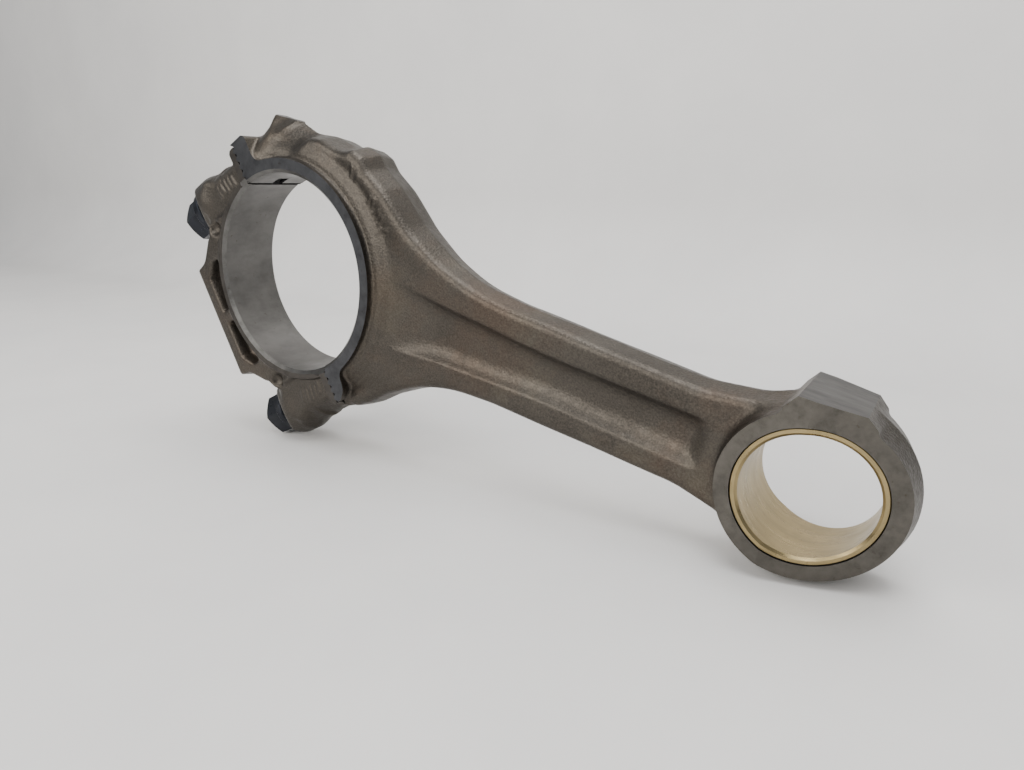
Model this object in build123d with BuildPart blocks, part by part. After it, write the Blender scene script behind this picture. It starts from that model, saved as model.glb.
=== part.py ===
from build123d import *
import os
from math import atan, cos, degrees, radians, sin, sqrt

# Connecting rod of a heavy diesel engine, all sizes in millimetres.
# The origin is the centre of the big-end bore. +X runs along the rod to the small end,
# +Y is the axis of both bores and +Z is up. The rod is alike on its two sides, y < 0 and y > 0.

# Bores, centre distance and widths
CENTRES = 250.0  # big-end bore to small-end bore
BIG_BORE = 95.0  # housing bore for the bearing shells of a 90 mm crankpin
PIN_BORE = 44.0  # bush bore for the piston pin
BUSH_OD = 49.3
ROD_WIDTH = 35.0  # rod half of the big end, over its thrust faces
CAP_WIDTH = 32.0
EYE_WIDTH = 37.0  # small end, before its wedge begins
BUSH_WIDTH = 36.0
FORGED_WIDTH = 30.0  # unmachined shoulders of the big end
SHANK_WIDTH = 19.5  # over the flanges of the I-section
WEB_WIDTH = 11.0
DRAFT = 9.0  # degrees, forging draft from the parting plane
BIG_PAD_TOP = 69.2  # narrow milled flat on the lug of the big end
SPLITS = (94.0, 216.0)  # where the one forging is divided into big end, shank and small end

# Joint between rod and cap: it passes through the bore's centre and slopes down to +X
JOINT_SLOPE = 50.0  # degrees below +X
TOOTH_PITCH = 4.0
TOOTH_DEPTH = 2.0
CREST_TRIM = 0.8  # flat crests on the cap's teeth leave small gaps beyond them
JOINT_GAP = 0.04
JOINT_REACH = 71.5  # half the length of the joint, at the parting plane
LAND_END = 68.0  # machined strips beside the joint
LAND_DEPTH = 10.4

# Thrust faces and edges
RING_R = 54.0
BORE_CHAMFER = 1.6
BEARING_NOTCH = (5.0, 1.6, 6.0)  # along the bore, deep, round the bore

# Small end
EYE_R = 32.7  # at the parting plane, drafted to about 30 at the faces
WEDGE_START = CENTRES - 7.3
WEDGE_SLOPE = 0.232  # each side face closes in by this much per unit of X
PAD_TOP = 32.7
PAD_SPAN = (236.5, 259.3)

# Bolts, M14 fine
BOLT_OFFSET = 57.0
SEAT = 48.0  # from the joint to the bolt seat
BOLT_R = 7.0
THREAD_FIT = 0.06
BOLT_LENGTH = 74.0
THREAD_LENGTH = 30.0
WAIST_R = 6.2
FLANGE_R = 13.0
FLANGE_HEIGHT = 4.5
HEX_FLATS = 20.0
HEX_HEIGHT = 12.0
CAP_HOLE_R = 7.3

# Cap
BOSS_R = 15.2  # round boss that carries the bolt seat
BOSS_SHOULDER = 42.0  # the cap's own height beside the boss
SEAT_CUTTER_R = 15.5
RIB_HALF = 31.0
RIB_TOP = 67.5
POCKET_FLOOR = 9.5
POCKET_OUTER = 55.0
POCKET_INNER_R = 53.0
POCKET_ENDS = (3.5, 27.5)

# Shank and its lightened channel
CHANNEL = (72.0, 212.5)
CHANNEL_HALF = (13.0, 9.0)  # half height at its two ends
SHANK_RUN = (112.0, 205.0)  # straight run of the shank's edges
SHANK_HALF = (24.2, 21.6)  # half height at the two ends of that run

SIDE = Plane.XZ
JOINT = Plane(
    origin=(0, 0, 0),
    x_dir=(cos(radians(JOINT_SLOPE)), 0, -sin(radians(JOINT_SLOPE))),
    z_dir=(0, 1, 0),
)  # x runs along the joint, y points out through the cap
CLEAR = 200.0  # larger than any part of the rod


def on_joint(along, out):
    """The X and Z of a point given along the joint and out towards the cap."""
    point = JOINT.from_local_coords((along, out, 0))
    return point.X, point.Z


def joint_teeth(gap, trim=0.0):
    """The serrated edge of a joint face, moved out by gap, its inner crests cut back by trim."""
    half_pitch = TOOTH_PITCH / 2
    steps = int(2 * (JOINT_REACH + 8) / TOOTH_PITCH)
    start = -steps * half_pitch
    crest = TOOTH_DEPTH / 2
    flat = trim * half_pitch / TOOTH_DEPTH
    points = []
    for step in range(2 * steps + 1):
        along = start + step * half_pitch
        if step % 2:
            points.append((along, gap + crest))
        elif trim:
            points += [(along - flat, gap - crest + trim), (along + flat, gap - crest + trim)]
        else:
            points.append((along, gap - crest))
    return points


def bore_edges(part, radius):
    """Circular edges of the bore of this radius, at both of its ends."""
    circles = part.edges().filter_by(GeomType.CIRCLE)
    return circles.filter_by(lambda edge: abs(edge.radius - radius) < 1e-3)


def eye_wedges():
    """The two wedges that taper the small end on its far side."""
    end = CENTRES + 45
    inner = EYE_WIDTH / 2 - WEDGE_SLOPE * (end - WEDGE_START)
    with BuildPart(mode=Mode.PRIVATE) as wedges:
        with BuildSketch(Plane.XY.offset(-CLEAR / 2)):
            with BuildLine():
                Polyline(
                    (WEDGE_START, EYE_WIDTH / 2),
                    (end, inner),
                    (end, EYE_WIDTH),
                    (WEDGE_START, EYE_WIDTH),
                    close=True,
                )
            make_face()
            mirror(about=Plane.XZ)
        extrude(amount=CLEAR)
    return wedges.part


# ----------------------------------------------------------------------- rod
with BuildPart() as rod:
    # Big end, shoulders and shank in one drafted outline, seen along the bores
    with BuildSketch(SIDE):
        with BuildLine():
            lug = Polyline(on_joint(-JOINT_REACH, 6), on_joint(-JOINT_REACH, -8))
            flank = ThreePointArc(lug @ 1, (-35.2, 62.6), (-32.0, BIG_PAD_TOP + 0.4))
            pad = Polyline(flank @ 1, (-15.0, BIG_PAD_TOP + 0.4), (-4.6, 66.0))
            crown = ThreePointArc(pad @ 1, (9.0, 66.2), (22.0, 64.2))
            knuckle = Polyline(crown @ 1, (28.0, 66.0), (34.5, 64.6), (39.0, 60.2))
            upper = Polyline(knuckle @ 1, (50.3, 53.0), (59.5, 46.6), (66.7, 40.4))
            throat = ThreePointArc(upper @ 1, (85.0, 29.2), (SHANK_RUN[0], SHANK_HALF[0]))
            top = Line(throat @ 1, (SHANK_RUN[1], SHANK_HALF[1]))
            neck = ThreePointArc(top @ 1, (218.0, 23.4), (230.0, 28.0))
            across = Line(neck @ 1, (230.0, -28.0))
            neck_low = ThreePointArc(across @ 1, (218.0, -23.4), (SHANK_RUN[1], -SHANK_HALF[1]))
            bottom = Line(neck_low @ 1, (SHANK_RUN[0], -SHANK_HALF[0]))
            throat_low = ThreePointArc(bottom @ 1, (85.0, -29.2), (66.7, -40.4))
            lower = Polyline(throat_low @ 1, (59.5, -46.6), (50.3, -53.0), on_joint(JOINT_REACH, 6))
            Line(lower @ 1, lug @ 0)
        make_face()
    extrude(amount=FORGED_WIDTH / 2, both=True, taper=DRAFT)
    # Thickness, seen from above: thick shoulders run down to the thinner shank
    with BuildSketch(Plane.XY.offset(-CLEAR / 2)):
        with BuildLine():
            shoulder = Polyline((-90, 0), (-90, FORGED_WIDTH / 2), (54, FORGED_WIDTH / 2))
            fall = Bezier(shoulder @ 1, (66, FORGED_WIDTH / 2), (68, SHANK_WIDTH / 2), (86, SHANK_WIDTH / 2))
            Polyline(fall @ 1, (240, SHANK_WIDTH / 2), (240, 0), (-90, 0))
        make_face()
        mirror(about=Plane.XZ)
    extrude(amount=CLEAR, mode=Mode.INTERSECT)
    # Channels of the I-section, one in each side
    for side in (-1, 1):
        with BuildSketch(SIDE.offset(side * WEB_WIDTH / 2)):
            with BuildLine():
                Polyline(
                    (CHANNEL[0], CHANNEL_HALF[0] - 5),
                    (CHANNEL[1], CHANNEL_HALF[1] - 5),
                    (CHANNEL[1], 5 - CHANNEL_HALF[1]),
                    (CHANNEL[0], 5 - CHANNEL_HALF[0]),
                    close=True,
                )
            make_face()
            offset(amount=3.0)
        extrude(amount=side * 10, taper=-25, mode=Mode.SUBTRACT)
    # Small-end eye, drafted both ways from the parting plane, with its flat pad
    with BuildSketch(SIDE):
        with Locations((CENTRES, 0)):
            Circle(EYE_R)
    extrude(amount=EYE_WIDTH / 2, both=True, taper=degrees(atan(2.7 / (EYE_WIDTH / 2))))
    with BuildSketch(SIDE):
        with BuildLine():
            Polyline(
                (PAD_SPAN[0] - 5.5, 18.0),
                (PAD_SPAN[0] - 3.0, 28.0),
                (PAD_SPAN[0], PAD_TOP),
                (PAD_SPAN[1], PAD_TOP),
                (PAD_SPAN[1] + 4.5, 29.3),
                (PAD_SPAN[1] + 4.5, 18.0),
                close=True,
            )
        make_face()
    extrude(amount=EYE_WIDTH / 2, both=True)
    add(eye_wedges(), mode=Mode.SUBTRACT)
    # Machined thrust ring and the strips beside the joint
    with BuildSketch(SIDE):
        Circle(RING_R)
    extrude(amount=ROD_WIDTH / 2, both=True)
    with BuildSketch(JOINT):
        with Locations((-(LAND_END + 40) / 2, -LAND_DEPTH / 2 + 3)):
            Rectangle(LAND_END - 40, LAND_DEPTH + 6)
        with Locations((53, 0)):
            SlotOverall(26 + LAND_DEPTH, 2 * (LAND_DEPTH - 2))
    extrude(amount=ROD_WIDTH / 2, both=True)
    # Everything on the cap's side of the serrated joint is taken off
    with BuildSketch(JOINT):
        with BuildLine():
            teeth = Polyline(*joint_teeth(0))
            Polyline(teeth @ 1, (CLEAR / 2, CLEAR), (-CLEAR / 2, CLEAR), teeth @ 0)
        make_face()
    extrude(amount=CLEAR / 2, both=True, mode=Mode.SUBTRACT)
    # Bores
    with BuildSketch(SIDE):
        Circle(BIG_BORE / 2)
        with Locations((CENTRES, 0)):
            Circle(BUSH_OD / 2)
    extrude(amount=CLEAR / 2, both=True, mode=Mode.SUBTRACT)
    # Threaded holes for the cap bolts
    for along in (-BOLT_OFFSET, BOLT_OFFSET):
        x, z = on_joint(along, 4)
        with BuildSketch(Plane(origin=(x, 0, z), x_dir=(0, 1, 0), z_dir=-JOINT.y_dir)):
            Circle(BOLT_R + THREAD_FIT)
        extrude(amount=BOLT_LENGTH - SEAT + 4 + 1.5, mode=Mode.SUBTRACT)
    # Milled flat on the big end's lug
    with Locations((-24, 0, BIG_PAD_TOP)):
        Box(30, CLEAR, 5, align=(Align.CENTER, Align.CENTER, Align.MIN), mode=Mode.SUBTRACT)
    # Notch that locates the tang of the upper bearing shell
    with BuildSketch(JOINT):
        with Locations((-BIG_BORE / 2, 0)):
            Rectangle(2 * BEARING_NOTCH[1], 2 * BEARING_NOTCH[2])
    extrude(amount=BEARING_NOTCH[0] / 2, both=True, mode=Mode.SUBTRACT)
    chamfer(bore_edges(rod, BIG_BORE / 2), length=BORE_CHAMFER)

# The forging in three blocks that meet face to face
with BuildPart() as rod_big_end:
    add(rod.part)
    split(bisect_by=Plane.YZ.offset(SPLITS[0]), keep=Keep.BOTTOM)
rod_big_end.part.label = "rod_big_end"

with BuildPart() as rod_shank:
    add(rod.part)
    split(bisect_by=Plane.YZ.offset(SPLITS[0]), keep=Keep.TOP)
    split(bisect_by=Plane.YZ.offset(SPLITS[1]), keep=Keep.BOTTOM)
rod_shank.part.label = "rod_shank"

with BuildPart() as rod_small_end:
    add(rod.part)
    split(bisect_by=Plane.YZ.offset(SPLITS[1]), keep=Keep.TOP)
rod_small_end.part.label = "rod_small_end"

# --------------------------------------------------------------- bearing cap
with BuildPart() as bearing_cap:
    with BuildSketch(JOINT):
        with BuildLine():
            flank = Polyline((JOINT_REACH - 1, -6), (JOINT_REACH - 1, 5), (69.0, 10.0))
            shoulder = Polyline(flank @ 1, (69.0, BOSS_SHOULDER), (50.0, BOSS_SHOULDER), (44.0, SEAT))
            Polyline(shoulder @ 1, (33.5, 59.0), (RIB_HALF + 1.5, RIB_TOP), (0, RIB_TOP))
            mirror(about=Plane.YZ)
            Line((JOINT_REACH - 1, -6), (1 - JOINT_REACH, -6))
        make_face()
    extrude(amount=CAP_WIDTH / 2, both=True, taper=DRAFT)
    # Everything on the rod's side of the serrated joint is taken off
    with BuildSketch(JOINT):
        with BuildLine():
            teeth = Polyline(*joint_teeth(JOINT_GAP, CREST_TRIM))
            Polyline(teeth @ 1, (CLEAR / 2, -CLEAR), (-CLEAR / 2, -CLEAR), teeth @ 0)
        make_face()
    extrude(amount=CLEAR / 2, both=True, mode=Mode.SUBTRACT)
    with BuildSketch(SIDE):
        Circle(BIG_BORE / 2)
    extrude(amount=CLEAR / 2, both=True, mode=Mode.SUBTRACT)
    for side in (-1, 1):
        # Bolt bosses, their milled seats and the bolt holes
        x, z = on_joint(side * BOLT_OFFSET, SEAT)
        seat = Plane(origin=(x, 0, z), x_dir=(0, 1, 0), z_dir=JOINT.y_dir)
        with BuildSketch(seat):
            Circle(BOSS_R)
        extrude(amount=-(SEAT - BOSS_R - 8))
        with BuildSketch(seat):
            Circle(SEAT_CUTTER_R)
        extrude(amount=20, mode=Mode.SUBTRACT)
        with BuildSketch(seat):
            Circle(CAP_HOLE_R)
        extrude(amount=-SEAT - 5, mode=Mode.SUBTRACT)
        # Lightening pockets beside the back rib, two in each face
        for face in (-1, 1):
            inner = sqrt(POCKET_INNER_R**2 - POCKET_ENDS[1] ** 2)
            middle = (POCKET_ENDS[0] + POCKET_ENDS[1]) / 2
            with BuildSketch(JOINT.offset(face * POCKET_FLOOR)):
                with BuildLine():
                    wall = ThreePointArc(
                        (side * POCKET_ENDS[0], sqrt(POCKET_INNER_R**2 - POCKET_ENDS[0] ** 2)),
                        (side * middle, sqrt(POCKET_INNER_R**2 - middle**2)),
                        (side * POCKET_ENDS[1], inner),
                    )
                    Polyline(
                        wall @ 1,
                        (side * POCKET_ENDS[1], POCKET_OUTER - 3),
                        (side * (POCKET_ENDS[1] - 4), POCKET_OUTER),
                        (side * POCKET_ENDS[0], POCKET_OUTER),
                        wall @ 0,
                    )
                make_face()
            extrude(amount=face * CAP_WIDTH, mode=Mode.SUBTRACT)
    chamfer(bore_edges(bearing_cap, BIG_BORE / 2), length=BORE_CHAMFER)
bearing_cap.part.label = "bearing_cap"


# ----------------------------------------------------------------- cap bolts
def cap_bolt(along):
    """A flanged hexagon bolt through the cap, its axis square to the joint."""
    x, z = on_joint(along, SEAT)
    seat = Plane(origin=(x, 0, z), x_dir=(0, 1, 0), z_dir=JOINT.y_dir)
    with BuildPart() as bolt:
        with BuildSketch(seat):
            Circle(FLANGE_R)
        extrude(amount=FLANGE_HEIGHT)
        rim = bolt.edges().filter_by(GeomType.CIRCLE).sort_by(SortBy.RADIUS)[-2:]
        chamfer(rim, length=0.5)
        with BuildSketch(seat.offset(FLANGE_HEIGHT)):
            RegularPolygon(radius=HEX_FLATS / 2, side_count=6, major_radius=False)
        extrude(amount=HEX_HEIGHT)
        with BuildSketch(seat.offset(FLANGE_HEIGHT + HEX_HEIGHT)):
            Circle(HEX_FLATS)
            Circle(HEX_FLATS / 2 - 0.2, mode=Mode.SUBTRACT)
        extrude(amount=-1.6, taper=45, mode=Mode.SUBTRACT)
        with BuildSketch(seat):
            Circle(BOLT_R)
        extrude(amount=-BOLT_LENGTH)
        tip = bolt.edges().filter_by(GeomType.CIRCLE).sort_by(Axis((x, 0, z), seat.z_dir))[0]
        chamfer(tip, length=1.2)
        with BuildSketch(seat.offset(-5)):
            Circle(BOLT_R + 1)
            Circle(WAIST_R, mode=Mode.SUBTRACT)
        extrude(amount=-(BOLT_LENGTH - THREAD_LENGTH - 5), mode=Mode.SUBTRACT)
    return bolt.part


upper_cap_bolt = cap_bolt(-BOLT_OFFSET)
upper_cap_bolt.label = "upper_cap_bolt"
lower_cap_bolt = cap_bolt(BOLT_OFFSET)
lower_cap_bolt.label = "lower_cap_bolt"

# ------------------------------------------------------------ small-end bush
with BuildPart() as small_end_bush:
    with BuildSketch(SIDE):
        with Locations((CENTRES, 0)):
            Circle(BUSH_OD / 2)
            Circle(PIN_BORE / 2, mode=Mode.SUBTRACT)
    extrude(amount=BUSH_WIDTH / 2, both=True)
    add(eye_wedges().moved(Location((-0.5 / WEDGE_SLOPE, 0, 0))), mode=Mode.SUBTRACT)
small_end_bush.part.label = "small_end_bush"

os.makedirs("parts", exist_ok=True)
export_step(rod_big_end.part, "parts/rod_big_end.step")
export_step(rod_shank.part, "parts/rod_shank.step")
export_step(rod_small_end.part, "parts/rod_small_end.step")
export_step(bearing_cap.part, "parts/bearing_cap.step")
export_step(upper_cap_bolt, "parts/upper_cap_bolt.step")
export_step(lower_cap_bolt, "parts/lower_cap_bolt.step")
export_step(small_end_bush.part, "parts/small_end_bush.step")
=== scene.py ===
from math import cos, pi, radians, sin

import bmesh
import bpy
import numpy as np
import openvdb
from mathutils import Matrix, Vector


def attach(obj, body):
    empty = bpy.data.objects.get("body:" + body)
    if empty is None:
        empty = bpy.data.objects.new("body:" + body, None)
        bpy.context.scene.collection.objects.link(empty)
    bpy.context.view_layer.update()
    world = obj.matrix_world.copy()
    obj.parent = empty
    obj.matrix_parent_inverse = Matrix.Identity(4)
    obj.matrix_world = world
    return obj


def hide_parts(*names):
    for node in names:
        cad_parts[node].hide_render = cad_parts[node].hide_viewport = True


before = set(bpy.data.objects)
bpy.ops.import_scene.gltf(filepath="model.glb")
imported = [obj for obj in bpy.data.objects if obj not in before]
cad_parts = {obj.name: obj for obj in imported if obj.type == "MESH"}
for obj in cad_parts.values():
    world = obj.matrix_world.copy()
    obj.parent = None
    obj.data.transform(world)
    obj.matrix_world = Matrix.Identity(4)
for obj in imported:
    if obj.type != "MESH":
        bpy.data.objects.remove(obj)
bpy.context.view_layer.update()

# Connecting rod. Lengths in this script are millimetres, as in the CAD model, and meshes are
# scaled to metres when they are made. +X runs to the small end, +Y along the bores, +Z up.
MM = 0.001

CENTRES = 250.0
BORE_R = 47.5
RING_R = 54.0
ROD_HALF = 17.5
CAP_HALF = 16.0
EYE_HALF = 18.5
EYE_R = 32.7
EYE_FACE_R = 30.0
BUSH_OUTER = 24.65
PIN_R = 22.0
BUSH_HALF = 18.0
WEDGE_START = CENTRES - 7.3
WEDGE_SLOPE = 0.232
PAD_TOP = 32.7
LUG_TOP = 69.2
CHAMFER = 1.6
SLOPE = radians(50)
TOOTH_PITCH = 4.0
TOOTH_DEPTH = 2.0
CREST_TRIM = 1.1
JOINT_GAP = 0.04
NOTCH_HALF = 3.0
LAND_END = 68.0
LAND_DEPTH = 10.4
CAP_STRIP_HALF = 17.35
CAP_STRIP_END = 5.2
SHANK_FACE = 9.7
WEB_FACE = 5.5
SHOULDER_FACE = 12.2
BOLT_OFFSET = 57.0
SEAT = 48.0
BOLT_R = 7.0
BOLT_LENGTH = 74.0
HOLE_SPARE = 1.5  # room left beyond the bolt's tip
CAP_HOLE_R = 7.3
SEAT_R = 15.5
RIB_HALF = 31.0
RIB_TOP = 67.5
CELL = 0.7  # spacing of the grid that the forgings are shaped on
CLEAR = 40.0  # how far cutters reach past a face

ALONG = np.array([cos(SLOPE), -sin(SLOPE)])  # along the joint, as X and Z
OUT = np.array([-sin(SLOPE), -cos(SLOPE)])  # out through the cap, as X and Z


def on_joint(along, out):
    """X and Z of a point given along the joint and out towards the cap."""
    return tuple(along * ALONG + out * OUT)


def to_joint(x, z):
    """The distances along the joint and out towards the cap of places given by X and Z."""
    return x * ALONG[0] + z * ALONG[1], x * OUT[0] + z * OUT[1]


def joint_outline(corners):
    """An outline in X and Z from corners given along the joint and out towards the cap."""
    return [on_joint(along, out) for along, out in corners]


# ------------------------------------------------------------- shaping tools
def smooth_max(a, b, blend):
    h = np.clip(0.5 + 0.5 * (a - b) / blend, 0, 1)
    return b + (a - b) * h + blend * h * (1 - h)


def smooth_min(a, b, blend):
    return -smooth_max(-a, -b, blend)


def highest(*fields):
    """The largest of several fields at each place: inside all of their solids at once."""
    result = fields[0]
    for field in fields[1:]:
        result = np.maximum(result, field)
    return result


def ease(t):
    """A smooth step from 0 to 1 as t goes from 0 to 1."""
    t = np.clip(t, 0, 1)
    return t * t * (3 - 2 * t)


def rounded(corners, steps=8):
    """A closed outline through corners (x, z, radius), with each corner rounded by an arc."""
    points = []
    count = len(corners)
    for i, (x, z, radius) in enumerate(corners):
        here = np.array([x, z])
        before = np.array(corners[i - 1][:2]) - here
        after = np.array(corners[(i + 1) % count][:2]) - here
        reach = 0.48 * min(np.linalg.norm(before), np.linalg.norm(after))
        before /= np.linalg.norm(before)
        after /= np.linalg.norm(after)
        half = 0.5 * np.arccos(np.clip(before @ after, -1, 1))
        setback = min(reach, radius / max(np.tan(half), 1e-6))
        if setback < 0.05:
            points.append(here)
            continue
        start, end = here + setback * before, here + setback * after
        for t in np.linspace(0, 1, steps):
            points.append((1 - t) ** 2 * start + 2 * t * (1 - t) * here + t * t * end)
    return np.array(points)


def outline_distance(points, x, z):
    """Signed distance from each place (x, z) to a closed outline, negative inside."""
    nearest = np.full(x.shape, 1e9)
    inside = np.zeros(x.shape, bool)
    for (ax, az), (bx, bz) in zip(points, np.roll(points, -1, axis=0)):
        ex, ez = bx - ax, bz - az
        length = ex * ex + ez * ez
        if length < 1e-12:
            continue
        t = np.clip(((x - ax) * ex + (z - az) * ez) / length, 0, 1)
        nearest = np.minimum(nearest, (x - ax - t * ex) ** 2 + (z - az - t * ez) ** 2)
        if az != bz:
            crosses = (az > z) != (bz > z)
            inside ^= crosses & (x < ax + ex * (z - az) / ez)
    return np.where(inside, -1, 1) * np.sqrt(nearest)


def ripple(x, z, size):
    """Slow unevenness of a forged surface, between about -1 and 1."""
    a = np.sin(x / size + 1.3 * np.sin(z / size * 0.7 + 0.5))
    b = np.sin(z / size * 1.1 + 1.1 * np.sin(x / size * 0.8 + 2.1))
    return 0.5 * (a + b)


def mesh_from(points, faces, name):
    mesh = bpy.data.meshes.new(name)
    mesh.from_pydata([tuple(p) for p in points], [], [tuple(f) for f in faces])
    mesh.validate()
    mesh.update()
    return mesh


def scaled_mesh(points, faces, name):
    """A mesh in metres from points in millimetres, with its faces turned outwards."""
    mesh = mesh_from([tuple(c * MM for c in p) for p in points], faces, name)
    build = bmesh.new()
    build.from_mesh(mesh)
    bmesh.ops.recalc_face_normals(build, faces=build.faces)
    build.to_mesh(mesh)
    build.free()
    return mesh


def new_object(name, mesh):
    piece = bpy.data.objects.new(name, mesh)
    bpy.context.scene.collection.objects.link(piece)
    return piece


def shaped(name, low, high, field):
    """A mesh of the surface where field(x, y, z) is zero, between the corners low and high."""
    low, high = np.array(low, float), np.array(high, float)
    counts = np.ceil((high - low) / CELL).astype(int) + 1
    x = (low[0] + CELL * np.arange(counts[0]))[:, None, None]
    y = (low[1] + CELL * np.arange(counts[1]))[None, :, None]
    z = (low[2] + CELL * np.arange(counts[2]))[None, None, :]
    band = 3 * CELL
    values = np.clip(field(x, y, z), -band, band).astype(np.float32)
    grid = openvdb.FloatGrid(background=band)
    grid.copyFromArray(np.ascontiguousarray(values))
    points, quads = grid.convertToQuads(isovalue=0.0)
    points = (points * CELL + low) * MM
    mesh = bpy.data.meshes.new(name)
    mesh.vertices.add(len(points))
    mesh.vertices.foreach_set("co", points.astype(np.float32).ravel())
    mesh.loops.add(quads.size)
    mesh.loops.foreach_set("vertex_index", quads[:, ::-1].ravel().astype(np.int32))
    mesh.polygons.add(len(quads))
    mesh.polygons.foreach_set("loop_start", np.arange(0, quads.size, 4, dtype=np.int32))
    mesh.update(calc_edges=True)
    mesh.validate()
    return new_object(name, mesh)


def prism(outline, y0, y1):
    """A closed prism from an outline of (x, z) points, between two values of y."""
    count = len(outline)
    points = [(x, y0, z) for x, z in outline] + [(x, y1, z) for x, z in outline]
    faces = [tuple(range(count)), tuple(range(2 * count - 1, count - 1, -1))]
    for i in range(count):
        j = (i + 1) % count
        faces.append((i, i + count, j + count, j))
    return points, faces


def lathe(profile, centre, steps=256):
    """A closed solid turned about the line along Y through centre, from (radius, y) points."""
    points, faces = [], []
    count = len(profile)
    for i in range(steps):
        a = 2 * pi * i / steps
        points += [(centre[0] + r * cos(a), y, centre[1] + r * sin(a)) for r, y in profile]
    for i in range(steps):
        j = (i + 1) % steps
        for k in range(count - 1):
            faces.append((i * count + k, i * count + k + 1, j * count + k + 1, j * count + k))
    faces.append(tuple(i * count for i in range(steps)))
    faces.append(tuple((steps - 1 - i) * count + count - 1 for i in range(steps)))
    return points, faces


def rod_between(start, end, radius, steps=64):
    """A closed cylinder between two points."""
    start, end = Vector(start), Vector(end)
    axis = (end - start).normalized()
    side = axis.orthogonal().normalized()
    other = axis.cross(side)
    points, faces = [], []
    for place in (start, end):
        for i in range(steps):
            a = 2 * pi * i / steps
            points.append(place + radius * (cos(a) * side + sin(a) * other))
    for i in range(steps):
        j = (i + 1) % steps
        faces.append((i, j, j + steps, i + steps))
    faces.append(tuple(range(steps - 1, -1, -1)))
    faces.append(tuple(range(steps, 2 * steps)))
    return points, faces


def cut(piece, solids, material):
    """Takes closed solids, clear of each other, off a piece. The cut faces get the material."""
    points, faces = [], []
    for solid_points, solid_faces in solids:
        base = len(points)
        points += [tuple(c * MM for c in p) for p in solid_points]
        faces += [tuple(base + i for i in f) for f in solid_faces]
    mesh = mesh_from(points, faces, "cutter")
    build = bmesh.new()
    build.from_mesh(mesh)
    bmesh.ops.recalc_face_normals(build, faces=build.faces)
    build.to_mesh(mesh)
    build.free()
    mesh.materials.append(material)
    cutter = new_object("cutter", mesh)
    modifier = piece.modifiers.new("cut", "BOOLEAN")
    modifier.operation = "DIFFERENCE"
    modifier.solver = "MANIFOLD"
    modifier.material_mode = "TRANSFER"
    modifier.object = cutter
    bake(piece)
    bpy.data.objects.remove(cutter)
    bpy.data.meshes.remove(mesh)


def bake(piece):
    """Applies a piece's modifiers."""
    bpy.context.view_layer.update()
    evaluated = piece.evaluated_get(bpy.context.evaluated_depsgraph_get())
    mesh = bpy.data.meshes.new_from_object(evaluated)
    piece.modifiers.clear()
    old = piece.data
    piece.data = mesh
    bpy.data.meshes.remove(old)
    mesh.name = piece.name


def finish_shading(piece, angle=32):
    piece.data.shade_smooth()
    piece.data.set_sharp_from_angle(angle=radians(angle))


# ----------------------------------------------------------------- materials
def node_tree(name):
    material = bpy.data.materials.new(name)
    material.use_nodes = True
    nodes = material.node_tree.nodes
    links = material.node_tree.links
    return material, nodes, links, nodes["Principled BSDF"]


def noise(nodes, links, coords, scale, detail=3.0, rough=0.5):
    tex = nodes.new("ShaderNodeTexNoise")
    tex.inputs["Scale"].default_value = scale
    tex.inputs["Detail"].default_value = detail
    tex.inputs["Roughness"].default_value = rough
    links.new(coords, tex.inputs["Vector"])
    return tex.outputs["Fac"]


def ramp(nodes, links, value, stops):
    node = nodes.new("ShaderNodeValToRGB")
    links.new(value, node.inputs["Fac"])
    elements = node.color_ramp.elements
    while len(elements) < len(stops):
        elements.new(0.5)
    for element, (place, colour) in zip(elements, stops):
        element.position = place
        element.color = (*colour, 1) if len(colour) == 3 else colour
    return node.outputs["Color"]


def mix(nodes, links, factor, a, b, mode="MIX"):
    node = nodes.new("ShaderNodeMix")
    node.data_type = "RGBA"
    node.blend_type = mode
    for socket, value in ((0, factor), (6, a), (7, b)):
        if isinstance(value, (float, int)):
            node.inputs[socket].default_value = value
        elif isinstance(value, tuple):
            node.inputs[socket].default_value = (*value, 1)
        else:
            links.new(value, node.inputs[socket])
    return node.outputs[2]


def stretch(nodes, links, value, low, high, out_low=0.0, out_high=1.0):
    node = nodes.new("ShaderNodeMapRange")
    node.inputs["From Min"].default_value = low
    node.inputs["From Max"].default_value = high
    node.inputs["To Min"].default_value = out_low
    node.inputs["To Max"].default_value = out_high
    links.new(value, node.inputs["Value"])
    return node.outputs["Result"]


def bump(nodes, links, height, strength, distance, normal=None):
    node = nodes.new("ShaderNodeBump")
    node.inputs["Strength"].default_value = strength
    node.inputs["Distance"].default_value = distance
    links.new(height, node.inputs["Height"])
    if normal is not None:
        links.new(normal, node.inputs["Normal"])
    return node.outputs["Normal"]


def stretched(nodes, links, coords, scale):
    """Coordinates scaled by their own factor along each axis."""
    node = nodes.new("ShaderNodeVectorMath")
    node.operation = "MULTIPLY"
    links.new(coords, node.inputs[0])
    node.inputs[1].default_value = scale
    return node.outputs["Vector"]


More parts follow.
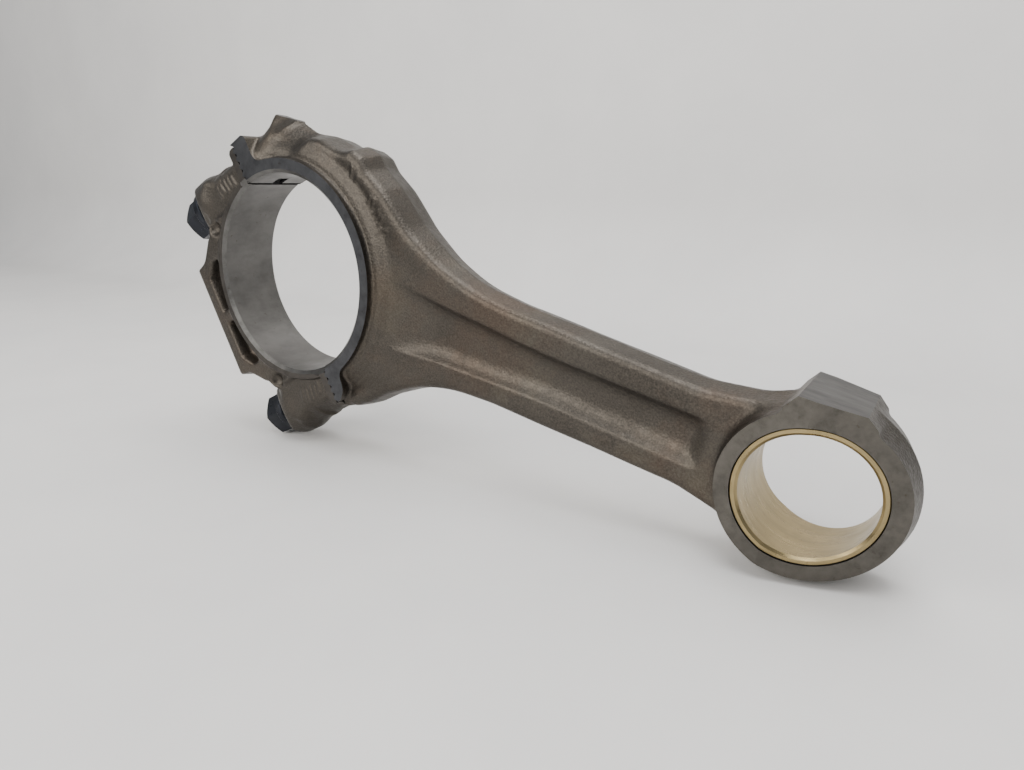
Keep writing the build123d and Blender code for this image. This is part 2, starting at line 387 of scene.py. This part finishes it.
def forged_steel(name):
    """Shot-peened drop forging: dark brown-grey, finely dimpled, scaly in places."""
    material, nodes, links, shader = node_tree(name)
    coords = nodes.new("ShaderNodeTexCoord").outputs["Object"]
    tone = noise(nodes, links, coords, 26, 4, 0.6)
    colour = ramp(nodes, links, tone, [(0.30, FORGED_DARK), (0.52, FORGED_MID), (0.75, FORGED_LIGHT)])
    rust = stretch(nodes, links, noise(nodes, links, coords, 14, 5, 0.7), 0.50, 0.68)
    colour = mix(nodes, links, rust, colour, (0.070, 0.052, 0.040))
    oil = stretch(nodes, links, noise(nodes, links, coords, 55, 5, 0.7), 0.62, 0.74, 0.0, 0.6)
    colour = mix(nodes, links, oil, colour, (0.028, 0.025, 0.022))
    grain = noise(nodes, links, coords, 1500, 2, 0.6)
    fleck = ramp(nodes, links, grain, [(0.3, (0.024, 0.021, 0.019)), (0.7, (0.15, 0.13, 0.105))])
    colour = mix(nodes, links, 0.28, colour, fleck)
    links.new(colour, shader.inputs["Base Color"])
    shader.inputs["Metallic"].default_value = 0.92
    rough = stretch(nodes, links, noise(nodes, links, coords, 420, 2, 0.5), 0.3, 0.7, 0.38, 0.50)
    links.new(rough, shader.inputs["Roughness"])
    cells = nodes.new("ShaderNodeTexVoronoi")
    cells.feature = "SMOOTH_F1"
    cells.inputs["Scale"].default_value = 1000
    cells.inputs["Smoothness"].default_value = 0.4
    links.new(coords, cells.inputs["Vector"])
    normal = bump(nodes, links, cells.outputs["Distance"], 0.40, 0.00025)
    normal = bump(nodes, links, noise(nodes, links, coords, 240, 3, 0.6), 0.20, 0.0003, normal)
    links.new(normal, shader.inputs["Normal"])
    return material


def ground_steel(name, base, rough_low, rough_high, grain=(1, 1, 1), contrast=0.3, metallic=0.95):
    """Machined steel with fine marks, drawn out along the axes where grain is small, and stains."""
    material, nodes, links, shader = node_tree(name)
    coords = nodes.new("ShaderNodeTexCoord").outputs["Object"]
    marks = stretched(nodes, links, coords, grain)
    tone = noise(nodes, links, coords, 55, 5, 0.65)
    streaks = noise(nodes, links, marks, 160, 4, 0.65)
    dark = tuple((1 - contrast) * c for c in base)
    light = tuple((1 + 0.6 * contrast) * c for c in base)
    colour = ramp(nodes, links, streaks, [(0.32, dark), (0.50, base), (0.68, light)])
    stain = stretch(nodes, links, tone, 0.50, 0.72, 0.0, 0.55)
    colour = mix(nodes, links, stain, colour, tuple(0.62 * c for c in base))
    spots = stretch(nodes, links, noise(nodes, links, coords, 420, 3, 0.6), 0.66, 0.74, 0.0, 0.55)
    colour = mix(nodes, links, spots, colour, tuple(k * c for k, c in zip((0.50, 0.40, 0.32), base)))
    links.new(colour, shader.inputs["Base Color"])
    shader.inputs["Metallic"].default_value = metallic
    rough = stretch(nodes, links, noise(nodes, links, marks, 300, 3, 0.6), 0.3, 0.7, rough_low, rough_high)
    links.new(rough, shader.inputs["Roughness"])
    normal = bump(nodes, links, noise(nodes, links, marks, 1300, 2, 0.5), 0.12, 0.00015)
    links.new(normal, shader.inputs["Normal"])
    return material


FORGED_DARK = (0.042, 0.037, 0.032)
FORGED_MID = (0.060, 0.054, 0.047)
FORGED_LIGHT = (0.092, 0.080, 0.062)

forged = forged_steel("forged_steel")
ring_steel = ground_steel("thrust_face_steel", (0.060, 0.061, 0.065), 0.36, 0.48)
bore_steel = ground_steel("honed_bore_steel", (0.130, 0.126, 0.121), 0.32, 0.46, (0.5, 0.25, 0.5), 0.22)
eye_steel = ground_steel("small_end_face_steel", (0.098, 0.091, 0.080), 0.36, 0.50)
pad_steel = ground_steel("milled_pad_steel", (0.074, 0.071, 0.068), 0.36, 0.48, (0.25, 1, 1))
# Near-black steel for the joint faces, notch, reliefs, bolt holes and seats: painted shade for these gaps
# and hollows
painted_shade_steel = ground_steel("painted_shade_steel", (0.03, 0.03, 0.03), 0.45, 0.60)
chamfer_steel = ground_steel("chamfer_steel", (0.115, 0.112, 0.107), 0.32, 0.44)
bolt_steel = ground_steel("black_bolt_steel", (0.024, 0.026, 0.032), 0.26, 0.40)
cap_rim_steel = ground_steel("cap_rim_steel", (0.062, 0.056, 0.050), 0.38, 0.52)
hex_steel = ground_steel("bolt_head_steel", (0.052, 0.055, 0.062), 0.28, 0.42)
bronze = ground_steel("bush_bronze", (0.34, 0.265, 0.135), 0.24, 0.38, (0.2, 1.5, 0.2), 0.2)


# ------------------------------------------------------------------ rod body
ROD_OUTLINE = rounded(
    [
        (*on_joint(-71, 12), 0),
        (*on_joint(-71, -7), 1.5),
        (-40.6, 59.6, 4),
        (-36.2, 62.2, 5),
        (-33.6, 65.8, 5),
        (-32.3, LUG_TOP + 2, 0),
        (-14.4, LUG_TOP + 2, 1),
        (-14.4, LUG_TOP - 0.4, 3),
        (-4.0, 65.9, 10),
        (9.0, 67.0, 20),
        (22.0, 64.4, 12),
        (28.2, 66.6, 4),
        (35.0, 64.4, 5),
        (40.0, 59.4, 10),
        (50.3, 53.6, 14),
        (66.7, 40.4, 40),
        (83.5, 31.2, 60),
        (101.0, 25.2, 80),
        (122.0, 23.3, 80),
        (205.0, 21.4, 40),
        (232.0, 26.0, 0),
        (232.0, -26.0, 0),
        (205.0, -21.2, 40),
        (122.0, -22.8, 80),
        (101.0, -24.6, 80),
        (83.5, -30.0, 60),
        (66.7, -40.4, 30),
        (57.0, -48.6, 10),
        (49.0, -53.6, 8),
        (*on_joint(71.5, -2), 4),
        (*on_joint(71.5, 12), 0),
    ]
)


def raised_marks(x, z, marks):
    """Low raised strokes left by the forging die; each is a start, an end and a height."""
    height = np.zeros(x.shape)
    for x0, z0, x1, z1, tall in marks:
        ex, ez = x1 - x0, z1 - z0
        t = np.clip(((x - x0) * ex + (z - z0) * ez) / (ex * ex + ez * ez), 0, 1)
        gap = np.hypot(x - x0 - t * ex, z - z0 - t * ez)
        height = np.maximum(height, tall * ease((1.5 - gap) / 1.3))
    return height


def strokes_on_arc(radius, degrees_of_each, tall):
    """Plain radial strokes round the big end, alternating in length and lean."""
    marks = []
    for i, place in enumerate(degrees_of_each):
        lean = radians(place + (1.2, -1.0, 0.4)[i % 3])
        inner, outer = radius - 2.0 + 0.5 * (i % 2), radius + 2.0 - 0.6 * (i % 3)
        a = radians(place)
        marks.append((inner * cos(a), inner * sin(a), outer * cos(lean), outer * sin(lean), tall))
    return marks


ROD_MARKS = strokes_on_arc(64.5, (60, 57.5, 47, 44.5, 42, 39.5, 37, 34.5), 0.55)
CAP_MARKS = [
    (53.0 + 1.0 * (i % 2), 12.5 + 3.2 * i, 57.5 + 0.6 * (i % 3), 13.6 + 3.2 * i, 0.55) for i in range(5)
]


def rod_field(x, y, z):
    """Below zero inside the forged rod, before machining."""
    depth = np.abs(y)
    plan_x, plan_z = x[:, 0, :] + 0 * z[0], z[0] + 0 * x[:, 0, :]
    edge = outline_distance(ROD_OUTLINE, plan_x, plan_z)
    radius = np.hypot(plan_x, plan_z)
    to_shank = ease((plan_x - 48) / 56)
    at_lug = ease((4 - plan_x) / 14) * ease((plan_z - 46) / 8)
    draft = 0.17 + 0.07 * to_shank + 0.45 * at_lug
    knuckle = 2.8 + 5.0 * at_lug
    # Level of the forged face
    shoulder = SHOULDER_FACE - 0.4 + 2.6 * ease((64 - radius) / 8)
    rim = 1.1 * np.exp(-((edge + 6.5) ** 2) / 16.0) * ease((radius - 60) / 6)
    # The lug's sides fall away steeply to its narrow top
    away = ease((plan_x + 4) / 16) + ease((52 - plan_z) / 8)
    lug = 15.6 - 0.045 * np.clip(radius - 57, 0, 17) ** 2 + 8 * away
    along, out = to_joint(plan_x, plan_z)
    saddle = 16.3 - 0.035 * np.maximum(0, -out - 8) ** 2 - 0.06 * np.maximum(0, along + 56) ** 2
    face = smooth_max(smooth_min(shoulder + rim, lug, 4.0), saddle, 4.0)
    level = face * (1 - to_shank) + SHANK_FACE * to_shank
    # The channel is hollow across its web and steepest just below the edges of the flanges
    drop = SHANK_FACE - WEB_FACE
    half = 9.6 + 2.6 * ease((150 - plan_x) / 60) + 3.6 * ease((98 - plan_x) / 40)
    across = np.clip(np.abs(plan_z) - half + 8.2, 0, 10.3)
    rise = smooth_min(10.6 - np.sqrt(10.6**2 - across**2), drop, 1.2)
    ends = ease((plan_x - 54) / 36) * ease((214.5 - plan_x) / 9.5)
    level = level - (drop - rise) * ends
    level = level + 0.12 * ripple(plan_x, plan_z, 9.0) + raised_marks(plan_x, plan_z, ROD_MARKS)
    edge, draft, knuckle, level = (v[:, None, :] for v in (edge, draft, knuckle, level))
    edge = edge + 0.10 * ripple(x + 3 * depth, z, 7.0)
    body = smooth_max((edge + draft * depth) * 0.95, (depth - level) * 0.90, knuckle)
    # Small-end eye: concave flanks between the parting ridge and the side faces
    eye_r = EYE_FACE_R + (EYE_R - EYE_FACE_R) * (1 - np.clip(depth / EYE_HALF, 0, 1)) ** 1.6
    eye = np.maximum(np.hypot(x - CENTRES, z) - eye_r, depth - EYE_HALF - 1)
    body = smooth_min(body, eye, 5.0)
    facet = (235.8 - x) * 0.85 + (z - 31.0) * 0.53
    lug_right = (x - 260.5) * 0.62 + (z - 30.5) * 0.78
    block = highest(233.6 - x, x - 262.0, z - PAD_TOP - 1.0, 10 - z, depth - EYE_HALF - 1)
    body = smooth_min(body, highest(block, facet, lug_right), 1.6)
    # Raised ring round the bore and strips beside the joint
    along, out = to_joint(x, z)
    stock = depth - ROD_HALF - 1
    ring = np.maximum(np.hypot(x, z) - RING_R, stock)
    upper = highest(along + 46, -LAND_DEPTH - out, -LAND_END - along, -76.6 - out - along)
    tongue_x = np.clip(along, 40, 58)
    tongue = np.hypot(along - tongue_x, out) - 8.2
    lands = np.minimum(smooth_max(upper, stock, 0.4), np.maximum(tongue, stock))
    raised = smooth_min(ring, lands, 5.0)
    return smooth_min(body, raised, 1.4)


def side_wedges(half):
    """The two solids beyond the small end's side faces, which close in along the wedge."""
    far = CENTRES + 50
    near = half - WEDGE_SLOPE * (far - WEDGE_START)
    solids = []
    for side in (-1, 1):
        plan = [(CENTRES - 50, half), (WEDGE_START, half), (far, near)]
        plan += [(far, half + 30), (CENTRES - 50, half + 30)]
        points = [(x, side * y, z) for z in (-60, 60) for x, y in plan]
        count = len(plan)
        faces = [tuple(range(count)), tuple(range(2 * count - 1, count - 1, -1))]
        faces += [(i, i + count, (i + 1) % count + count, (i + 1) % count) for i in range(count)]
        solids.append((points, faces))
    return solids


def box(low, high):
    outline = [(low[0], low[2]), (high[0], low[2]), (high[0], high[2]), (low[0], high[2])]
    return prism(outline, low[1], high[1])


def teeth(gap, trim=0.0):
    """The serrated joint line as (x, z), moved out by gap, its inner crests cut back by trim."""
    half = TOOTH_PITCH / 2
    crest = TOOTH_DEPTH / 2
    flat = trim * half / TOOTH_DEPTH
    line = []
    for step in range(-42, 43):
        along = step * half
        if step % 2 == 0:
            line.append(on_joint(along, gap + crest))
        elif trim:
            line.append(on_joint(along - flat, gap - crest + trim))
            line.append(on_joint(along + flat, gap - crest + trim))
        else:
            line.append(on_joint(along, gap - crest))
    return line


def bore_profile(radius, half, chamfer):
    """A bore with a chamfer at each end, as (radius, y) points that open out past both faces."""
    reach = 60
    wide = radius + chamfer + reach - half
    near_side = [(wide, -reach), (radius + chamfer, -half), (radius, chamfer - half)]
    return near_side + [(r, -y) for r, y in reversed(near_side)]


def cut_bore(piece, half):
    """The big-end bore, with a bright chamfer at each end."""
    cut(piece, [lathe(bore_profile(BORE_R - 0.5, half, CHAMFER + 0.5), (0, 0))], chamfer_steel)
    cut(piece, [lathe([(BORE_R, -60), (BORE_R, 60)], (0, 0))], bore_steel)


def joint_reliefs():
    """Small grooves in the bore, along both ends of the joint."""
    solids = []
    for side in (-1, 1):
        corners = ((44.5, -1.6), (48.6, -0.6), (48.6, 0.6), (44.5, 1.6))
        solids.append(prism(joint_outline([(side * along, out) for along, out in corners]), -30, 30))
    return solids


def side_slabs(half):
    """The two slabs beyond the big end's side faces."""
    return [
        box((-120, half, -120), (120, half + 2 * CLEAR, 90)),
        box((-120, -half - 2 * CLEAR, -120), (120, -half, 90)),
    ]


def make_rod_body():
    rod = shaped("rod_body_forging", (-52, -20.3, -74), (287, 20.3, 76), rod_field)
    rod.data.materials.append(forged)
    eye_bore = lathe(bore_profile(BUSH_OUTER, EYE_HALF + 30, 0), (CENTRES, 0))
    cut(rod, side_slabs(ROD_HALF) + [eye_bore], ring_steel)
    cut(rod, side_wedges(EYE_HALF), eye_steel)
    cut_bore(rod, ROD_HALF)
    # The joint, notch, relief and hole faces cut below get the near-black steel, painted shade
    beyond_joint = teeth(0) + joint_outline([(90, 120), (-90, 120)])
    cut(rod, [prism(beyond_joint, -CLEAR, CLEAR)], painted_shade_steel)
    notch = joint_outline([(-49.1, -6.5), (-44, -6.5), (-44, 3), (-49.1, 3)])
    cut(rod, [prism(notch, -NOTCH_HALF, NOTCH_HALF)], painted_shade_steel)
    cut(rod, joint_reliefs(), painted_shade_steel)
    above_pad = box((200, -CLEAR, PAD_TOP), (290, CLEAR, 60))
    above_lug = box((-60, -CLEAR, LUG_TOP), (10, CLEAR, 100))
    cut(rod, [above_pad, above_lug], pad_steel)
    holes = []
    for along in (-BOLT_OFFSET, BOLT_OFFSET):
        x0, z0 = on_joint(along, 6)
        x1, z1 = on_joint(along, SEAT - BOLT_LENGTH - HOLE_SPARE)
        holes.append(rod_between((x0, 0, z0), (x1, 0, z1), BOLT_R + 0.06))
    cut(rod, holes, painted_shade_steel)
    finish_shading(rod)
    return rod


rod_body = make_rod_body()
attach(rod_body, "rod")
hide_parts("rod_big_end", "rod_shank", "rod_small_end")


# --------------------------------------------------------------- bearing cap
def cap_outline():
    half = [
        (70.5, -8, 0),
        (70.5, 4.0, 5),
        (69.0, 12.0, 8),
        (69.0, 42.5, 3),
        (50.0, 42.5, 4),
        (43.5, 47.0, 6),
        (33.8, 58.5, 7),
        (RIB_HALF + 1.2, RIB_TOP, 0.8),
    ]
    mirrored = [(-along, out, radius) for along, out, radius in reversed(half)]
    return rounded([(*on_joint(along, out), radius) for along, out, radius in half + mirrored])


CAP_OUTLINE = cap_outline()
POCKET = rounded(
    [
        (3.0, 52.6, 2),
        (3.0, 57.8, 2),
        (22.5, 57.8, 3),
        (29.0, 51.5, 3),
        (29.0, 45.4, 2),
        (16.0, 50.4, 20),
    ]
)


def cap_field(x, y, z):
    """Below zero inside the forged cap, before machining."""
    depth = np.abs(y)
    plan_x, plan_z = x[:, 0, :] + 0 * z[0], z[0] + 0 * x[:, 0, :]
    edge = outline_distance(CAP_OUTLINE, plan_x, plan_z)
    radius = np.hypot(plan_x, plan_z)
    along, out = to_joint(plan_x, plan_z)
    along = np.abs(along)
    # Level of the face: rib flush with the rim, bosses sunk between low ribs
    level = 13.7 + 1.9 * ease((47.0 - along) / 3.0)
    level = level - 1.2 * ease((44.5 - along) / 2.5) * ease((along - 34.0) / 4.0) * ease((43 - out) / 8)
    level = level + (CAP_HALF + 0.8 - level) * ease((52.6 - radius) / 1.6)
    level = level + 0.10 * ripple(plan_x, plan_z, 8.0) + raised_marks(along, out, CAP_MARKS)
    heights = (0, 4.6, 6.4, 28, 31, 34, 38, 48)
    front = np.interp(out, heights, (67.5, 67.3, 61.3, 61.3, 62.6, 65.0, 66.2, 66.4))
    pocket = outline_distance(POCKET, along, out)
    dimple = np.hypot(along - 42.5, out - 38.5)
    edge, radius, along, out, level, front, pocket, dimple = (
        v[:, None, :] for v in (edge, radius, along, out, level, front, pocket, dimple)
    )
    body = smooth_max((edge + 0.16 * depth) * 0.97, depth - level, 1.8)
    body = smooth_max(body, (along - front - 0.62 * (15 - depth)) * 0.85, 2.5)
    end = (out - 46.5 + 0.40 * (along - 40) - 0.5 * (15 - depth)) * 0.82
    body = smooth_max(body, np.minimum(end, along - 41), 2.0)
    boss_r = 12.4 + 2.9 * ease((out - 30) / 11)
    front_flat = (depth - 11.3 - 1.0 * np.maximum(0, SEAT - out)) * 0.7
    boss = highest(np.hypot(along - BOLT_OFFSET, y) - boss_r, out - SEAT - 1, 24 - out)
    boss = smooth_max(boss, front_flat, 1.5)
    body = smooth_min(body, boss, 3.0)
    land = smooth_max(along - 66.4, out - 4.4, 3.0)
    body = smooth_min(body, highest(land, 48 - along, -9 - out, depth - 18.5), 1.0)
    well = smooth_max(pocket + 0.30 * (15.5 - depth), 9.3 - depth, 2.0)
    body = smooth_max(body, -well, 1.2)
    hollow = np.hypot(dimple, (depth - 16.5) * 0.9) - 4.0
    return smooth_max(body, -hollow, 1.5)


def make_bearing_cap():
    cap = shaped("bearing_cap_forging", (-100, -17.3, -99), (50, 17.3, 62), cap_field)
    cap.data.materials.append(forged)
    # The strips beside the joint stand higher than the rest of the cap's faces
    strip = joint_outline([(-90, CAP_STRIP_END), (90, CAP_STRIP_END), (90, -20), (-90, -20)])
    beyond = joint_outline([(-90, CAP_STRIP_END), (90, CAP_STRIP_END), (90, 120), (-90, 120)])
    for plan, height in ((strip, CAP_STRIP_HALF), (beyond, CAP_HALF)):
        cut(cap, [prism(plan, height, CLEAR), prism(plan, -CLEAR, -height)], cap_rim_steel)
    cut_bore(cap, CAP_HALF)
    # The joint, relief, seat and hole faces cut below get the near-black steel, painted shade
    before_joint = teeth(JOINT_GAP, CREST_TRIM) + joint_outline([(90, -120), (-90, -120)])
    cut(cap, [prism(before_joint, -CLEAR, CLEAR)], painted_shade_steel)
    cut(cap, joint_reliefs(), painted_shade_steel)
    seats, holes = [], []
    for along in (-BOLT_OFFSET, BOLT_OFFSET):
        x0, z0 = on_joint(along, SEAT)
        x1, z1 = on_joint(along, SEAT + 25)
        x2, z2 = on_joint(along, -8)
        x3, z3 = on_joint(along, SEAT + 5)
        seats.append(rod_between((x0, 0, z0), (x1, 0, z1), SEAT_R))
        holes.append(rod_between((x2, 0, z2), (x3, 0, z3), CAP_HOLE_R))
    cut(cap, seats, painted_shade_steel)
    cut(cap, holes, painted_shade_steel)
    finish_shading(cap)
    return cap


bearing_cap = make_bearing_cap()
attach(bearing_cap, "cap")
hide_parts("bearing_cap")


# ----------------------------------------------------------------- cap bolts
THREAD_LENGTH = 30.0
PITCH = 1.5
HEX_FLATS = 20.0
HEAD_HEIGHT = 16.5
COLLAR = [(12.5, 0.0), (13.0, 0.5), (13.0, 3.7), (12.6, 4.3), (11.6, 4.7), (10.9, 5.2), (9.0, 5.4)]


def circle(radius, height, steps):
    """A ring of points about the Z axis."""
    turns = [2 * pi * k / steps for k in range(steps)]
    return [(radius * cos(a), radius * sin(a), height) for a in turns]


def ring_solid(rows):
    """A closed ring from circles of points, the last of which joins the first."""
    points = [point for row in rows for point in row]
    steps = len(rows[0])
    faces = []
    for i in range(len(rows)):
        j = (i + 1) % len(rows)
        for k in range(steps):
            m = (k + 1) % steps
            faces.append((i * steps + k, i * steps + m, j * steps + m, j * steps + k))
    return points, faces


def grid_solid(rows):
    """A closed solid from rings of points, all of one length, with flat ends."""
    points = [point for row in rows for point in row]
    count = len(rows[0])
    faces = []
    for i in range(len(rows) - 1):
        for k in range(count):
            m = (k + 1) % count
            faces.append((i * count + k, i * count + m, (i + 1) * count + m, (i + 1) * count + k))
    faces.append(tuple(range(count - 1, -1, -1)))
    faces.append(tuple(range(len(points) - count, len(points))))
    return points, faces


def shank_radius(down, turn):
    """Radius of the bolt below its seat: fitted collar, waist, then the thread."""
    thread_start = BOLT_LENGTH - THREAD_LENGTH
    if down < 5:
        return BOLT_R
    if down < thread_start:
        ease_in = min(1.0, (down - 5) / 1.2, (thread_start - down) / 1.2)
        return BOLT_R - 0.8 * ease_in
    phase = (down / PITCH - turn) % 1.0
    tooth = 1 - abs(2 * phase - 1)
    radius = BOLT_R - 0.05 - 0.85 * (1 - min(1.0, 1.25 * tooth))
    return min(radius, BOLT_R - 1.6 + max(0.0, BOLT_LENGTH - down))


def make_bolt(name, along, steps=72):
    """A flanged hexagon bolt, first along +Z from its seat at the origin."""
    thread_start = BOLT_LENGTH - THREAD_LENGTH
    downs = [0, 4.9, 5.6, 6.2, thread_start - 1.2]
    downs += list(np.arange(thread_start, BOLT_LENGTH, PITCH / 9)) + [BOLT_LENGTH]
    rows = []
    for down in reversed(downs):
        rows.append([])
        for k in range(steps):
            r = shank_radius(down, k / steps)
            a = 2 * pi * k / steps
            rows[-1].append((r * cos(a), r * sin(a), -down))
    rows += [circle(r, height, steps) for r, height in COLLAR]
    stem_points, stem_faces = grid_solid(rows)
    # Hexagon, its top corners turned off and its top dished
    corner = HEX_FLATS / 2 / cos(pi / 6)
    turns = [pi / 3 * k + pi / 6 for k in range(6)]
    hexagon = [[(corner * cos(a), corner * sin(a), z) for a in turns] for z in (3.4, HEAD_HEIGHT)]
    head = new_object("hexagon", scaled_mesh(*grid_solid(hexagon), "hexagon"))
    head.data.materials.append(bolt_steel)
    crown = [(20.0, -6.5), (30.0, -6.5), (30.0, 5), (9.3, 5), (9.3, 0.01), (9.4, -0.02)]
    cut(head, [ring_solid([circle(r, HEAD_HEIGHT + rise, steps) for r, rise in crown])], hex_steel)
    dish = [(5.0, -0.9), (6.6, -0.3), (6.9, 2)]
    cut(head, [grid_solid([circle(r, HEAD_HEIGHT + rise, steps) for r, rise in dish])], hex_steel)
    bolt = new_object(name, scaled_mesh(stem_points, stem_faces, name))
    bolt.data.materials.append(bolt_steel)
    join = bolt.modifiers.new("head", "BOOLEAN")
    join.operation = "UNION"
    join.solver = "MANIFOLD"
    join.material_mode = "TRANSFER"
    join.object = head
    bake(bolt)
    bpy.data.objects.remove(head)
    x, z = on_joint(along, SEAT)
    out = Vector((OUT[0], 0, OUT[1]))
    side = Vector((0, 1, 0))
    place = Matrix((side.cross(out), side, out)).transposed().to_4x4()
    bolt.data.transform(Matrix.Translation((x * MM, 0, z * MM)) @ place)
    bolt.data.update()
    finish_shading(bolt, 28)
    return bolt


upper_bolt = make_bolt("upper_cap_bolt_detailed", -BOLT_OFFSET)
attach(upper_bolt, "upper_bolt")
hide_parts("upper_cap_bolt")
lower_bolt = make_bolt("lower_cap_bolt_detailed", BOLT_OFFSET)
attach(lower_bolt, "lower_bolt")
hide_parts("lower_cap_bolt")


# ------------------------------------------------------------ small-end bush
def make_bush(steps=256):
    def face(radius, angle):
        x = CENTRES + radius * cos(angle)
        return BUSH_HALF - WEDGE_SLOPE * max(0.0, x - WEDGE_START)

    section = [(PIN_R, -0.9), (PIN_R + 0.9, 0.0), (BUSH_OUTER - 0.5, 0.0), (BUSH_OUTER, -0.5)]
    points, faces = [], []
    for i in range(steps):
        angle = 2 * pi * i / steps
        ring = [(r, face(r, angle) + inset) for r, inset in section]
        ring += [(r, -y) for r, y in reversed(ring)]
        points += [(CENTRES + r * cos(angle), y, r * sin(angle)) for r, y in ring]
    count = 2 * len(section)
    for i in range(steps):
        j = (i + 1) % steps
        for k in range(count):
            m = (k + 1) % count
            faces.append((i * count + k, i * count + m, j * count + m, j * count + k))
    bush = new_object("small_end_bush_detailed", scaled_mesh(points, faces, "small_end_bush"))
    bush.data.materials.append(bronze)
    finish_shading(bush, 25)
    return bush


bush = make_bush()
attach(bush, "rod")
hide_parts("small_end_bush")


# --------------------------------------------------- floor, camera and lights
def lowest(objects, up):
    return min((up @ np.array(v.co)) for piece in objects for v in piece.data.vertices)


def resting_slope():
    """The floor's slope under the rod, which rests on the lower bolt head and the small end."""
    low, high = 0.0, 0.6
    for _ in range(30):
        slope = (low + high) / 2
        up = np.array([-sin(slope), 0, cos(slope)])
        if lowest([lower_bolt, bearing_cap], up) > (up[0] * CENTRES - EYE_R) * MM:
            high = slope
        else:
            low = slope
    return slope


slope = resting_slope()
up = Vector((-sin(slope), 0, cos(slope)))
ahead = Vector((0, 1, 0))
right = ahead.cross(up)
floor_level = lowest([lower_bolt, bearing_cap, rod_body], np.array(up)) - 0.0002


def make_backdrop():
    """A pale floor that sweeps up into a wall behind the rod."""
    profile = [(-2.5, 0.0), (0.30, 0.0)]
    bend = 0.12
    for step in range(1, 13):
        a = pi / 2 * step / 12
        profile.append((0.30 + bend * sin(a), bend * (1 - cos(a))))
    profile.append((0.42, 2.2))
    rows = []
    for side in (-2.5, 2.5):
        rows.append([right * side + ahead * y + up * (h + floor_level) for y, h in profile])
    points = [p for row in rows for p in row]
    count = len(profile)
    faces = [(k, k + 1, count + k + 1, count + k) for k in range(count - 1)]
    backdrop = new_object("backdrop", mesh_from(points, faces, "backdrop"))
    backdrop.data.shade_smooth()
    material, nodes, links, shader = node_tree("pale_floor")
    coords = nodes.new("ShaderNodeTexCoord").outputs["Object"]
    patches = noise(nodes, links, coords, 9, 4, 0.6)
    tone = ramp(nodes, links, patches, [(0.3, (0.66, 0.65, 0.64)), (0.7, (0.71, 0.70, 0.685))])
    links.new(tone, shader.inputs["Base Color"])
    shader.inputs["Roughness"].default_value = 0.55
    backdrop.data.materials.append(material)
    return backdrop


make_backdrop()


def aim(obj, place, target):
    obj.location = place
    obj.rotation_euler = (Vector(target) - Vector(place)).to_track_quat("-Z", "Y").to_euler()


def area_light(name, place, target, size, power, colour=(1, 1, 1)):
    light = bpy.data.lights.new(name, "AREA")
    light.shape = "RECTANGLE"
    light.size, light.size_y = size
    light.energy = power
    light.color = colour
    lamp = bpy.data.objects.new(name, light)
    bpy.context.scene.collection.objects.link(lamp)
    aim(lamp, place, target)


middle = Vector((0.12, 0, 0))
area_light("ceiling_light", middle + up * 1.15 + right * 0.1 - ahead * 0.05, middle, (1.3, 0.7), 19)
softbox_place = middle + up * 0.60 - ahead * 1.12 - right * 0.34
area_light("front_softbox", softbox_place, middle, (1.8, 0.85), 22, (1, 0.97, 0.92))

world = bpy.data.worlds.new("studio")
world.use_nodes = True
world.node_tree.nodes["Background"].inputs["Color"].default_value = (0.82, 0.86, 0.92, 1)
world.node_tree.nodes["Background"].inputs["Strength"].default_value = 0.38
bpy.context.scene.world = world

camera_data = bpy.data.cameras.new("camera")
camera_data.sensor_width = 36
camera_data.lens = 25.15
camera_data.clip_start = 0.01
camera = bpy.data.objects.new("camera", camera_data)
bpy.context.scene.collection.objects.link(camera)
view_right = Vector((0.8192, 0.5400, 0.1932))
view_down = Vector((0.3615, -0.2248, -0.9049))
view_ahead = Vector((-0.4452, 0.8111, -0.3794))
turn = Matrix((view_right, -view_down, -view_ahead)).transposed().to_4x4()
camera.matrix_world = Matrix.Translation((0.26205, -0.24954, 0.10397)) @ turn
bpy.context.scene.camera = camera
